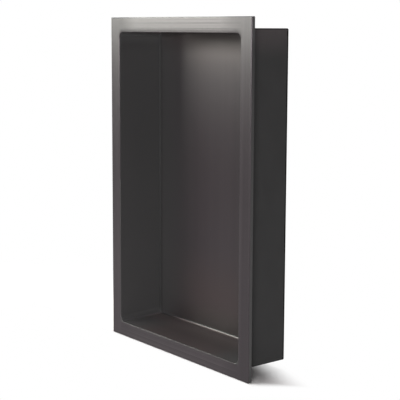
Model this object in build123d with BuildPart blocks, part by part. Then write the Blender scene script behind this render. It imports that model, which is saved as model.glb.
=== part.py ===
from build123d import *
import os

# Shower niche insert: a steel box set into a wall, with a flat frame that laps onto the tiles.
# Sizes are in millimetres. +X is right seen from the room, +Y into the wall and +Z up.
# The origin is the centre of the frame on the wall plane, where the folded edge meets the tiles.

# Front frame
frame_width = 300.0  # outside, from left edge to right edge
frame_height = 450.0  # outside, from bottom edge to top edge
frame_border = 20.0  # face between the outer edge and the opening
frame_stand = 5.0  # how far the face stands in front of the tiles

# Sheet and folds
sheet = 1.2  # thickness of the steel
fold_inside = 0.8  # inside radius of a fold
edge_round = 0.8  # ground round on the frame's outer edge and its welded corners

# Recess
recess_depth = 70.0  # from the frame's face to the back panel
floor_fall = 1.5  # drop of the recess floor from back to front, so that water runs out
opening_corner = 8.0  # corners of the opening, carried through to the back panel
mouth_round = 0.6  # ground edge from the frame's face into the recess
back_bend = 2.5  # bend from the recess walls into the back panel

# Casing round the recess
wall = 6.0  # closed double wall, from the recess to the outside of the casing
back_bond = 0.6  # adhesive between the back panel and the casing back

back_wall = 2 * sheet + back_bond
fold_outside = fold_inside + sheet
opening_width = frame_width - 2 * frame_border
opening_height = frame_height - 2 * frame_border
casing_width = opening_width + 2 * wall
casing_height = opening_height + 2 * wall

face_y = -frame_stand
face_back_y = face_y + sheet
recess_back_y = face_y + recess_depth
casing_back_y = recess_back_y + back_wall
recess_top = opening_height / 2
recess_bottom = -opening_height / 2

os.makedirs("parts", exist_ok=True)

with BuildPart() as niche_insert:
    # Frame blank, with its outer edge folded back to the wall
    with BuildSketch(Plane.XZ):
        Rectangle(frame_width, frame_height)
    extrude(amount=frame_stand)
    fillet(niche_insert.edges().filter_by(Axis.Y), edge_round)
    fillet(niche_insert.faces().sort_by(Axis.Y)[0].edges(), edge_round)

    # Hollow behind the face, left open inside the folded edge
    with BuildSketch(Plane.XZ):
        Rectangle(frame_width - 2 * sheet, frame_height - 2 * sheet)
    extrude(amount=-face_back_y, mode=Mode.SUBTRACT)
    fillet(niche_insert.faces().filter_by(Axis.Y).sort_by(Axis.Y)[1].edges(), fold_inside)

    # Casing behind the face
    with BuildSketch(Plane.XZ.offset(-face_back_y)):
        Rectangle(casing_width, casing_height)
    extrude(amount=face_back_y - casing_back_y)
    casing_back = niche_insert.faces().sort_by(Axis.Y)[-1]
    casing_corners = niche_insert.edges().filter_by(Axis.Y).group_by(SortBy.LENGTH)[-1]
    fillet(casing_back.edges() + casing_corners, fold_outside)

    # Recess, as a side profile with the sloping floor
    with BuildSketch(Plane.YZ):
        with BuildLine():
            Polyline(
                (face_y, recess_bottom),
                (recess_back_y, recess_bottom + floor_fall),
                (recess_back_y, recess_top),
                (face_y, recess_top),
                close=True,
            )
        make_face()
    extrude(amount=opening_width / 2, both=True, mode=Mode.SUBTRACT)
    recess_edges = niche_insert.edges(Select.LAST)
    recess_corners = recess_edges.filter_by(Axis.X, reverse=True).filter_by(Axis.Z, reverse=True)
    fillet(recess_corners, opening_corner)
    back_panel = niche_insert.faces().sort_by_distance((0, recess_back_y, 0))[0]
    fillet(back_panel.edges(), back_bend)
    face = niche_insert.faces().sort_by(Axis.Y)[0]
    fillet(face.inner_wires()[0].edges(), mouth_round)

niche_insert.part.label = "niche_insert"
export_step(niche_insert.part, "parts/niche_insert.step")
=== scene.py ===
import math
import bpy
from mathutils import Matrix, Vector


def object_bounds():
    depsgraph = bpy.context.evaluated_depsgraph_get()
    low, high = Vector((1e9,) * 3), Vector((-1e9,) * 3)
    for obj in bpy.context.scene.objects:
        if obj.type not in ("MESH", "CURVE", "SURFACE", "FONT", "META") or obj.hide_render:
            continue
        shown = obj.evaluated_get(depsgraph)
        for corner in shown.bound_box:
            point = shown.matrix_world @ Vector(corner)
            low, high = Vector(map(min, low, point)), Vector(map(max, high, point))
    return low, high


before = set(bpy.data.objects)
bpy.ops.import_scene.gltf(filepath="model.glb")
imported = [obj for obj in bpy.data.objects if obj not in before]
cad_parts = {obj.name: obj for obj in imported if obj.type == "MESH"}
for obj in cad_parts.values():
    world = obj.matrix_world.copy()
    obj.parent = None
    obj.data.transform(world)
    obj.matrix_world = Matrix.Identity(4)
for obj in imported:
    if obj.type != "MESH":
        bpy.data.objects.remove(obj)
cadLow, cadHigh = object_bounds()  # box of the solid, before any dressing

from types import SimpleNamespace

import bpy
from mathutils import Matrix, Vector

mm = 0.001
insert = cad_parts["niche_insert"]
scene = bpy.context.scene
scene.view_settings.view_transform = "Standard"
print("loaded", insert.name, "with", len(insert.data.polygons), "faces")


class ShaderValue:  # a socket that adds Math nodes when it is used in an expression
    def __init__(self, graph, socket):
        self.graph = graph
        self.socket = socket

    def maths(self, operation, *values):
        return self.graph.node("ShaderNodeMath", {"operation": operation}, dict(enumerate(values)))

    def __add__(self, other):
        return self.maths("ADD", self, other)

    def __radd__(self, other):
        return self.maths("ADD", other, self)

    def __sub__(self, other):
        return self.maths("SUBTRACT", self, other)

    def __rsub__(self, other):
        return self.maths("SUBTRACT", other, self)

    def __mul__(self, other):
        return self.maths("MULTIPLY", self, other)

    def __rmul__(self, other):
        return self.maths("MULTIPLY", other, self)

    def __gt__(self, other):  # also the reflected form of <
        return self.maths("GREATER_THAN", self, other)

    def __lt__(self, other):
        return self.maths("LESS_THAN", self, other)

    def __abs__(self):
        return self.maths("ABSOLUTE", self)

    def larger(self, other):
        return self.maths("MAXIMUM", self, other)

    def squareRoot(self):
        return self.maths("SQRT", self)


class ShaderGraph:  # a node tree that is filled through one method
    def __init__(self, tree):
        self.tree = tree
        tree.nodes.clear()

    def node(self, kind, settings=None, sockets=None, out=0):
        made = self.tree.nodes.new(kind)
        for name, value in (settings or {}).items():
            setattr(made, name, value)
        for name, value in (sockets or {}).items():
            if isinstance(value, ShaderValue):
                self.tree.links.new(value.socket, made.inputs[name])
            else:
                made.inputs[name].default_value = value
        return ShaderValue(self, made.outputs[out]) if made.outputs else None

    def split(self, vector):
        parts = self.node("ShaderNodeSeparateXYZ", None, {0: vector})
        return [ShaderValue(self, out) for out in parts.socket.node.outputs]

    def stretch(self, vector, scale):
        return self.node("ShaderNodeVectorMath", {"operation": "MULTIPLY"}, {0: vector, 1: scale})

    def along(self, vector, way):  # how far a vector goes that way
        return self.node("ShaderNodeVectorMath", {"operation": "DOT_PRODUCT"},
                         {0: vector, 1: way}, "Value")

    def blendVector(self, factor, first, second):  # a Mix node has its own A, B and result for each type
        return self.node("ShaderNodeMix", {"data_type": "VECTOR"}, {0: factor, 4: first, 5: second}, 1)

    def blendColour(self, factor, first, second):
        return self.node("ShaderNodeMix", {"data_type": "RGBA"}, {0: factor, 6: first, 7: second}, 2)

    def rise(self, value, low, high, curve="SMOOTHSTEP"):  # from 0 at low to 1 at high
        return self.node("ShaderNodeMapRange", {"interpolation_type": curve},
                         {"Value": value, "From Min": low, "From Max": high})

    def fall(self, value, low, high, curve="SMOOTHSTEP"):  # from 1 at low to 0 at high
        return 1 - self.rise(value, low, high, curve)


def between(start, end, factor):  # two numbers, blended by a factor that varies over the surface
    return start + factor * (end - start)


def newMaterial(name):
    material = bpy.data.materials.new(name)
    material.use_nodes = True
    return material, ShaderGraph(material.node_tree)


insertSizes = {  # sizes of the solid that bound its finishes
    "border": 20 * mm,  # face of the frame, from its outer edge to the opening
    "sheet": 1.2 * mm,
    "wall": 6 * mm,  # from the recess to the outside of the casing
    "recessDepth": 70 * mm,
    "backBend": 2.5 * mm,  # from the recess walls into the back panel
    "cornerRound": 8 * mm,  # corners of the recess
    "mouthEdge": 0.8 * mm,  # ground edge round the opening
    "topEdge": 0.75 * mm,  # top edge of the frame, where a highlight is painted
    "slack": 0.05 * mm,  # takes in the rear of the frame's sheet
}


def findPlaces(graph, sizes):  # where a point lies on the insert
    halfWidth, casingBack, halfHeight = (round(size, 6) for size in cadHigh)  # to a micrometre
    face = round(cadLow.y, 6)
    faceBack = face + sizes["sheet"]
    openingX = halfWidth - sizes["border"]
    openingZ = halfHeight - sizes["border"]
    casingTop = openingZ + sizes["wall"]
    zone = SimpleNamespace(recessHeight=2 * openingZ)
    zone.place = graph.node("ShaderNodeTexCoord", None, None, "Object")
    normal = graph.node("ShaderNodeTexCoord", None, None, "Normal")
    zone.normalX, zone.normalY, zone.normalZ = graph.split(normal)
    x, zone.y, zone.z = graph.split(zone.place)
    spanX = abs(x)
    spanZ = abs(zone.z)

    zone.fromSide = openingX - spanX  # distances from the side walls, ceiling and sill of the recess
    zone.fromTop = openingZ - zone.z
    zone.fromFoot = openingZ + zone.z
    zone.onFace = zone.y < faceBack
    zone.onBar = zone.onFace * (spanX < openingX)  # above and below the opening
    zone.onTopEdge = zone.z > halfHeight - sizes["topEdge"]
    zone.onBack = zone.y > face + sizes["recessDepth"] - sizes["backBend"]  # back panel and its bends
    zone.inside = (spanX < openingX + sizes["mouthEdge"]) * (spanZ < openingZ + sizes["mouthEdge"])
    zone.behindMouth = zone.y > face + sizes["mouthEdge"]
    overX = (spanX - (openingX - sizes["cornerRound"])).larger(0)
    overZ = (spanZ - (openingZ - sizes["cornerRound"])).larger(0)
    zone.pastOpening = (overX * overX + overZ * overZ).squareRoot() - sizes["cornerRound"]

    zone.belowTop = casingTop - zone.z  # depth below the casing's top
    zone.pastSide = spanX - (openingX + sizes["wall"])  # distances past the casing's sides, top and back
    zone.pastTop = spanZ - casingTop
    zone.pastBack = zone.y - casingBack
    foldX = halfWidth - sizes["sheet"] / 2  # middle of the frame's folded edge
    foldZ = halfHeight - sizes["sheet"] / 2
    zone.behindFace = (spanX < foldX) * (spanZ < foldZ) * (zone.y > faceBack - sizes["slack"])
    return zone


recessLimits = {  # soft edges between the finishes of the recess
    "ledgeTurn": (0.68, 0.96),  # vertical part of the normal, on the recess floor and ceiling
    "wallTurn": (0.3, 0.85),  # sideways part of the normal, on the side walls
    "bendTurn": (0.05, 0.35),  # product of both, in the bends between them
    "wallShadeReach": (0, 105 * mm),  # how far the side walls' tone reaches over the back panel, as painted shade beside them
    "burnishSide": (20 * mm, 60 * mm),  # side ends of the burnished bend above the floor, from a wall
    "burnishTop": (4.4 * mm, 6.1 * mm),  # its upper edge, from the sill
    "heelTop": 3.1 * mm,  # lower half of that bend, finished as the floor
    "sillShare": 0.85,  # burnishing of the sill's ground edge
}


def markRecess(graph, zone, limits):  # adds the parts of the recess
    middle = graph.rise(zone.fromSide, *limits["burnishSide"])
    zone.heel = zone.onBack * (zone.fromFoot < limits["heelTop"]) * middle
    ledge = graph.rise(abs(zone.normalZ), *limits["ledgeTurn"])
    zone.ledge = (ledge * (1 - zone.onBar) * (1 - zone.onBack)).larger(zone.heel)
    wall = graph.rise(abs(zone.normalX), *limits["wallTurn"]) * zone.behindMouth
    # the walls' tone spreads over the back panel beside them as painted shade
    zone.wall = wall.larger(zone.onBack * graph.fall(zone.fromSide, *limits["wallShadeReach"]))
    bend = graph.rise(abs(zone.normalX * zone.normalZ), *limits["bendTurn"])
    zone.bend = zone.inside * zone.behindMouth * bend
    zone.floorBend = zone.onBack * graph.fall(zone.fromFoot, *limits["burnishTop"]) * (1 - zone.heel)
    sill = zone.inside * (1 - zone.behindMouth) * (zone.z < 0)
    zone.burnish = (zone.floorBend * middle).larger(sill * limits["sillShare"])


markLook = {  # streaks and grain of the brushing, clouds, and the roll of the frame's face
    "streakAcross": 85,  # streaks for each metre across the brushing
    "levelStreakAcross": 760,  # finer where the brushing is level
    "streakAlong": 0.8,
    "streakDetail": 5,
    "grainAcross": 3600,
    "grainAlong": 8,
    "grainDetail": 2,
    "grainDepth": 0.0008 * mm,
    "roughness": 0.7,  # of the noise
    "toneRange": (0.3, 0.7),  # part of the noise that tones the colours
    "noiseMiddle": 0.5,  # about its mean
    "cloudScale": 30,  # clouds on what is not brushed
    "cloudDetail": 4,
    "rollWidth": 5.5 * mm,  # face of the frame that rolls into the opening
    "rollDepth": 0.1 * mm,
}


def surfaceMarks(graph, zone, look):
    level = zone.onBar.larger(zone.ledge)  # brushed from side to side

    def brushed(across, levelAcross, along, detail):
        upright = graph.stretch(zone.place, (across, across, along))
        sideways = graph.stretch(zone.place, (along, levelAcross, levelAcross))
        return graph.node("ShaderNodeTexNoise", None, {
            "Vector": graph.blendVector(level, upright, sideways),
            "Scale": 1, "Detail": detail, "Roughness": look["roughness"]})

    streak = brushed(
        look["streakAcross"], look["levelStreakAcross"], look["streakAlong"], look["streakDetail"])
    grain = brushed(look["grainAcross"], look["grainAcross"], look["grainAlong"], look["grainDetail"])
    cloud = graph.node("ShaderNodeTexNoise", None, {
        "Vector": zone.place, "Scale": look["cloudScale"], "Detail": look["cloudDetail"]})
    roll = graph.fall(zone.pastOpening, 0, look["rollWidth"], "LINEAR")
    height = grain * look["grainDepth"] - roll * roll * zone.onFace * look["rollDepth"]
    return SimpleNamespace(
        tone=graph.rise(streak, *look["toneRange"]),
        ripple=streak - look["noiseMiddle"],
        mottle=graph.rise(cloud, *look["toneRange"]),
        cloudRipple=cloud - look["noiseMiddle"],
        bump=graph.node("ShaderNodeBump", None, {"Strength": 1, "Distance": 1, "Height": height}))


def coating(graph, mark, colour, roughness, constants):
    return graph.node("ShaderNodeBsdfPrincipled", None, {
        "Base Color": colour, "Roughness": roughness, "Normal": mark.bump, **constants})


burnishFinish = {  # bend above the recess floor, and ground edge of the sill
    "colour": (0.0635, 0.0612, 0.061, 1),
    "metallic": 0.85,
    "roughness": 0.35,
}


def brushedCoating(graph, zone, mark, colour, finish, burnish):
    roughness = between(finish["roughness"], burnish["roughness"], zone.burnish)
    return coating(graph, mark, colour, roughness + mark.ripple * finish["roughnessSpread"], {
        "Metallic": between(finish["metallic"], burnish["metallic"], zone.burnish),
        "IOR": finish["ior"],
        "Anisotropic": finish["anisotropy"],
        "Anisotropic Rotation": finish["anisotropyTurn"]})


uprightFinish = {  # upright bars of the frame, back panel and side walls
    "colour": (0.0272, 0.0225, 0.0252, 1),
    "streakColour": (0.0375, 0.0311, 0.0347, 1),
    "panelColour": (0.0282, 0.0229, 0.0255, 1),  # back panel, about a tenth darker as painted shade of the recess, with calmer streaks
    "panelStreakColour": (0.0315, 0.0256, 0.0285, 1),
    "endColour": (0.0403, 0.0299, 0.0304, 1),  # brown towards the top and foot of the back panel
    "endShare": 0.8,
    "endMiddle": 25 * mm,  # height that both brown ends are measured from
    "endReach": (105 * mm, 185 * mm),
    "wallColour": (0.0308, 0.0298, 0.0301, 1),  # side walls, and as painted shade the back panel near them
    "wallLitColour": (0.0475, 0.0459, 0.0464, 1),  # painted light towards their foot and just below the ceiling, where less light reaches
    "wallTopLift": (0, 22 * mm),
    "metallic": 0.3,
    "ior": 1.24,
    "roughness": 0.285,
    "roughnessSpread": 0.012,
    "anisotropy": 0.8,  # how much wider the gloss is across the brushing
    "anisotropyTurn": 0,
}


def uprightSteel(graph, zone, mark, finish, burnish):
    frameColour = graph.blendColour(mark.tone, finish["colour"], finish["streakColour"])
    # the back panel takes a darker colour, painted shade of the recess
    panelColour = graph.blendColour(mark.tone, finish["panelColour"], finish["panelStreakColour"])
    colour = graph.blendColour(zone.onBack, frameColour, panelColour)
    end = zone.onBack * graph.rise(abs(zone.z - finish["endMiddle"]), *finish["endReach"])
    colour = graph.blendColour(end * finish["endShare"], colour, finish["endColour"])
    # painted light: the walls' tone turns lighter towards their foot and just below the ceiling, where
    # less light reaches them
    paintedLift = graph.fall(zone.fromFoot, 0, zone.recessHeight, "LINEAR")
    paintedLift = paintedLift.larger(graph.fall(zone.fromTop, *finish["wallTopLift"]))
    wallColour = graph.blendColour(paintedLift, finish["wallColour"], finish["wallLitColour"])
    colour = graph.blendColour(zone.wall, colour, wallColour)
    colour = graph.blendColour(zone.burnish, colour, burnish["colour"])
    return brushedCoating(graph, zone, mark, colour, finish, burnish)


barFinish = {  # bars above and below the opening
    "colour": (0.0258, 0.0219, 0.0239, 1),
    "streakColour": (0.0583, 0.0492, 0.0539, 1),
    "edgeHighlightColour": (0.16, 0.157, 0.15, 1),  # lighter colour painted along the frame's top edge as a highlight
    "cornerBlend": (0, 45 * mm),  # length near a corner where the brushing turns
    "metallic": 0.3,
    "ior": 1.183,
    "roughness": 0.21,
    "roughnessSpread": 0.14,
    "anisotropy": 0.1,
    "anisotropyTurn": 0.25,  # part of a full turn, for the level brushing
}


def barSteel(graph, zone, mark, finish, burnish):
    colour = graph.blendColour(mark.tone, finish["colour"], finish["streakColour"])
    colour = graph.blendColour(zone.burnish, colour, burnish["colour"])
    # painted highlight: lighter colour along the frame's top edge
    colour = graph.blendColour(zone.onTopEdge, colour, finish["edgeHighlightColour"])
    turned = zone.onBar * graph.rise(zone.fromSide, *finish["cornerBlend"])
    return turned, brushedCoating(graph, zone, mark, colour, finish, burnish)


ledgeFinish = {  # recess floor and ceiling
    "colour": (0.079, 0.0642, 0.0642, 1),
    "streakColour": (0.0865, 0.0703, 0.0703, 1),
    "sideShadeColour": (0.081, 0.0783, 0.079, 1),  # neutral tone painted as shade towards the side walls
    "sideShadeReach": (25 * mm, 75 * mm),
    "rearLitColour": (0.158, 0.131, 0.131, 1),  # painted light, paler towards the back panel, where less light reaches the floor
    "rearLitReach": (22 * mm, 64 * mm),
    "metallic": 0.3,
    "ior": 1.4,
    "roughness": 0.4,
    "roughnessSpread": 0.07,
}


def ledgeSteel(graph, zone, mark, finish):
    colour = graph.blendColour(mark.tone, finish["colour"], finish["streakColour"])
    # painted shade: neutral tone towards the side walls
    beside = graph.fall(zone.fromSide, *finish["sideShadeReach"])
    colour = graph.blendColour(beside, colour, finish["sideShadeColour"])
    # painted light: paler towards the back panel
    colour = graph.blendColour(graph.rise(zone.y, *finish["rearLitReach"]), colour, finish["rearLitColour"])
    roughness = finish["roughness"] + mark.ripple * finish["roughnessSpread"]
    return zone.ledge, coating(graph, mark, colour, roughness, {
        "Metallic": finish["metallic"], "IOR": finish["ior"]})


paintedShadeFinish = {  # dull, darker finish painted as shade: a margin along the top, foot and sides of the back panel, and the corners of the recess
    "colour": (0.0194, 0.0159, 0.0157, 1),
    "cloudColour": (0.0214, 0.0177, 0.0175, 1),
    "top": (7 * mm, 34 * mm),  # widths of the margin, where it begins to fade and where it ends
    "topLoss": 0.5,  # how much of the top margin is lost beside the side walls
    "side": (2 * mm, 7 * mm),
    # painted shade in the bends beside the side walls
    "sideShadeColour": (0.0235, 0.0228, 0.0232, 1),
    "foot": (4 * mm, 40 * mm),
    "footShare": 0.8,
    "bendShadeColour": (0.036, 0.0349, 0.0355, 1),  # painted shade in the corners between the side walls and the floor or ceiling
    "bendShare": 0.5,
    "creaseShadeColour": (0.0135, 0.0131, 0.0133, 1),  # painted shade in the bends between the side walls and the back panel
    "creaseTurn": (0.3, 0.5),  # product of the normal's sideways and front parts
    "roughness": 0.6,
    "roughnessSpread": 0.012,
    "sheen": 0.1,
}


def paintedShadeSteel(graph, zone, mark, finish):
    top = graph.fall(zone.fromTop, *finish["top"]) * (1 - zone.wall * finish["topLoss"])
    side = graph.fall(zone.fromSide, *finish["side"])
    foot = graph.fall(zone.fromFoot, *finish["foot"]) * finish["footShare"]
    foot = foot * (1 - zone.floorBend) * (1 - zone.wall)
    # painted shade: a darker, dull margin below the ceiling, above the floor and beside the side walls
    margin = zone.onBack * (1 - zone.heel) * top.larger(side).larger(foot)
    # painted shade in the bends beside the back panel
    creaseShade = zone.onBack * graph.rise(abs(zone.normalX * zone.normalY), *finish["creaseTurn"])
    colour = graph.blendColour(mark.mottle, finish["colour"], finish["cloudColour"])
    colour = graph.blendColour(side, colour, finish["sideShadeColour"])
    # painted shade in the corners of the recess
    colour = graph.blendColour(zone.bend, colour, finish["bendShadeColour"])
    colour = graph.blendColour(creaseShade, colour, finish["creaseShadeColour"])
    roughness = finish["roughness"] + mark.ripple * finish["roughnessSpread"]
    paintedShade = margin.larger(zone.bend * finish["bendShare"])
    return paintedShade, coating(graph, mark, colour, roughness, {"Specular IOR Level": finish["sheen"]})


casingFinish = {
    "colour": (0.0206, 0.0203, 0.0205, 1),
    "cloudColour": (0.0225, 0.0222, 0.0224, 1),
    "topLitColour": (0.036, 0.0318, 0.0328, 1),  # painted light, paler towards the top
    "topLitFade": (0, 42 * mm),
    "foldShadeColour": (0.0006, 0.0006, 0.0006, 1),  # black line painted as shade along the outer folds
    "foldWidth": 3.4 * mm,
    "foldHeight": 1.4 * mm,
    "skin": 1 * mm,  # depth under the casing's faces that has this finish
    "roughness": 0.6,
    "roughnessSpread": 0.1,
    "sheen": 0.1,
}


def casingSteel(graph, zone, mark, finish):
    past = zone.pastSide.larger(zone.pastTop).larger(zone.pastBack)
    outer = (past > -finish["skin"]) * zone.behindFace
    nearSide = zone.pastSide > -finish["foldWidth"]
    nearTop = zone.pastTop > -finish["foldHeight"]
    nearBack = zone.pastBack > -finish["foldWidth"]
    fold = (nearSide * nearTop).larger(nearBack * nearSide.larger(nearTop))  # where two faces meet
    colour = graph.blendColour(mark.mottle, finish["colour"], finish["cloudColour"])
    # painted light: lighter towards the casing's top
    paintedLift = graph.fall(zone.belowTop, *finish["topLitFade"])
    colour = graph.blendColour(paintedLift, colour, finish["topLitColour"])
    # painted shade: black line along the outer folds
    colour = graph.blendColour(fold, colour, finish["foldShadeColour"])
    roughness = finish["roughness"] + mark.cloudRipple * finish["roughnessSpread"]
    return outer, coating(graph, mark, colour, roughness, {"Specular IOR Level": finish["sheen"]})


def gunmetalSteel():
    material, graph = newMaterial("gunmetalSteel")
    zone = findPlaces(graph, insertSizes)
    markRecess(graph, zone, recessLimits)
    mark = surfaceMarks(graph, zone, markLook)
    surface = uprightSteel(graph, zone, mark, uprightFinish, burnishFinish)
    layers = [
        barSteel(graph, zone, mark, barFinish, burnishFinish),
        ledgeSteel(graph, zone, mark, ledgeFinish),
        paintedShadeSteel(graph, zone, mark, paintedShadeFinish),
        casingSteel(graph, zone, mark, casingFinish),
    ]
    for share, shader in layers:
        surface = graph.node("ShaderNodeMixShader", None, {0: share, 1: surface, 2: shader})
    graph.node("ShaderNodeOutputMaterial", None, {"Surface": surface})
    return material


def dressInsert():
    insert.data.materials.clear()
    insert.data.materials.append(gunmetalSteel())
    print("insert dressed")


floorLook = {
    "size": 60.0,
    "colour": (0.92, 0.885, 0.885, 1),
    "white": (1, 1, 1, 1),
    "whiteSides": [  # ways from the insert, and distances where the floor turns into white backdrop
        ((-0.6, 0.8, 0), (0.1, 0.5)),
        ((0.314, 0.944, 0), (0.066, 0.116)),
        ((0.79, -0.61, 0), (0.115, 0.137)),
    ],
    "frontWay": (0, -1, 0),  # white close in front of the frame
    "frontEdge": (4 * mm, 8 * mm),
    "frontReach": (0.35, 0.7),
}


def seenRay(graph):  # camera, mirror and glass rays
    path = graph.node("ShaderNodeLightPath", None, None, "Is Camera Ray")
    rays = path.socket.node.outputs
    seen = path.larger(ShaderValue(graph, rays["Is Glossy Ray"]))
    return seen.larger(ShaderValue(graph, rays["Is Transmission Ray"]))


def palePaper(look):
    material, graph = newMaterial("palePaper")
    place = graph.node("ShaderNodeTexCoord", None, None, "Object")
    reach = graph.node("ShaderNodeVectorMath", {"operation": "LENGTH"}, {0: place}, "Value")
    backdrop = graph.rise(graph.along(place, look["frontWay"]), *look["frontEdge"])
    backdrop = backdrop * graph.fall(reach, *look["frontReach"])
    for way, edge in look["whiteSides"]:
        backdrop = backdrop.larger(graph.rise(graph.along(place, way), *edge))
    paper = graph.node("ShaderNodeBsdfDiffuse", None, {"Color": look["colour"]})
    white = graph.node("ShaderNodeEmission", None, {"Color": look["white"], "Strength": 1})
    surface = graph.node("ShaderNodeMixShader", None, {0: backdrop * seenRay(graph), 1: paper, 2: white})
    graph.node("ShaderNodeOutputMaterial", None, {"Surface": surface})
    return material


def layFloor(look):
    half = look["size"] / 2
    corners = [(-half, -half, 0), (half, -half, 0), (half, half, 0), (-half, half, 0)]
    mesh = bpy.data.meshes.new("floor")
    mesh.from_pydata(corners, [], [range(len(corners))])
    mesh.materials.append(palePaper(look))
    floor = bpy.data.objects.new("floor", mesh)
    floor.location.z = cadLow.z
    scene.collection.objects.link(floor)
    print("floor laid")


worldLook = {
    "colour": (1, 1, 1, 1),
    "room": 0.05,  # strength all round
    "white": 1.0,  # strength behind the insert
    "whiteWay": (-0.79, 0.61, 0),
    "whiteEdge": (0.3, 0.8),
}


def setWorld(look):
    world = bpy.data.worlds.new("studio")
    world.use_nodes = True
    graph = ShaderGraph(world.node_tree)
    way = graph.node("ShaderNodeTexCoord", None, None, "Generated")
    behind = graph.rise(graph.along(way, look["whiteWay"]), *look["whiteEdge"])
    light = graph.node("ShaderNodeBackground", None, {
        "Color": look["colour"], "Strength": between(look["room"], look["white"], behind)})
    graph.node("ShaderNodeOutputWorld", None, {"Surface": light})
    scene.world = world


warm = (1.0, 1.06, 0.96)
plain = (1.0, 1.0, 1.0)
lampPlan = [  # bearing in degrees to the right of straight on, elevation from the insert's middle
    {"name": "stripBox", "colour": warm, "radiance": 99.5,
     "bearing": -52.5, "elevation": 6.5, "distance": 8.05, "width": 2.68, "height": 0.424},
    {"name": "wideBox", "colour": warm, "radiance": 11.8,
     "bearing": -48, "elevation": 2.9, "distance": 8.01, "width": 3.99, "height": 0.588},
    {"name": "lowBox", "colour": warm, "radiance": 67.0,
     "bearing": -38.5, "elevation": 1.65, "distance": 8.0, "width": 1.26, "height": 0.238},
    {"name": "fillBox", "colour": plain, "radiance": 100.0,
     "bearing": 45, "elevation": 3.0, "distance": 8.1, "width": 3.4, "height": 0.76},
    {"name": "topBox", "colour": plain, "radiance": 38.0,
     "bearing": -90, "elevation": 86.5, "distance": 1.4, "width": 0.5, "height": 0.5},
]


def hangLamp(plan):
    lamp = bpy.data.lights.new(plan["name"], "AREA")
    lamp.shape = "RECTANGLE"
    lamp.size = plan["width"]
    lamp.size_y = plan["height"]
    lamp.color = plan["colour"]
    lamp.energy = plan["radiance"] * math.pi * plan["width"] * plan["height"]
    turn = math.radians(plan["bearing"])
    lift = math.radians(plan["elevation"])
    way = Vector((math.sin(turn) * math.cos(lift), -math.cos(turn) * math.cos(lift), math.sin(lift)))
    lampObject = bpy.data.objects.new(plan["name"], lamp)
    lampObject.location = way * plan["distance"]
    lampObject.rotation_euler = way.to_track_quat("Z", "Y").to_euler()
    lampObject.visible_camera = False
    scene.collection.objects.link(lampObject)


cameraPlan = {
    "place": (1.1447, -0.8634, 0.2104),
    "yaw": 51.85,  # degrees to the left of straight on
    "down": 7.85,
    "roll": 0.23,
    "lens": 98.95,
    "shiftY": -0.05,
    "farthest": 200,
}


def setCamera(plan):
    camera = bpy.data.cameras.new("camera")
    camera.lens = plan["lens"]
    camera.shift_y = plan["shiftY"]
    camera.clip_end = plan["farthest"]
    cameraObject = bpy.data.objects.new("camera", camera)
    turned = Matrix.Rotation(math.radians(plan["yaw"]), 4, "Z")
    tipped = Matrix.Rotation(math.radians(90 - plan["down"]), 4, "X")
    rolled = Matrix.Rotation(math.radians(plan["roll"]), 4, "Z")
    cameraObject.matrix_world = Matrix.Translation(plan["place"]) @ turned @ tipped @ rolled
    scene.collection.objects.link(cameraObject)
    scene.camera = cameraObject


dressInsert()
layFloor(floorLook)
setWorld(worldLook)
for plan in lampPlan:
    hangLamp(plan)
setCamera(cameraPlan)
print("studio set")
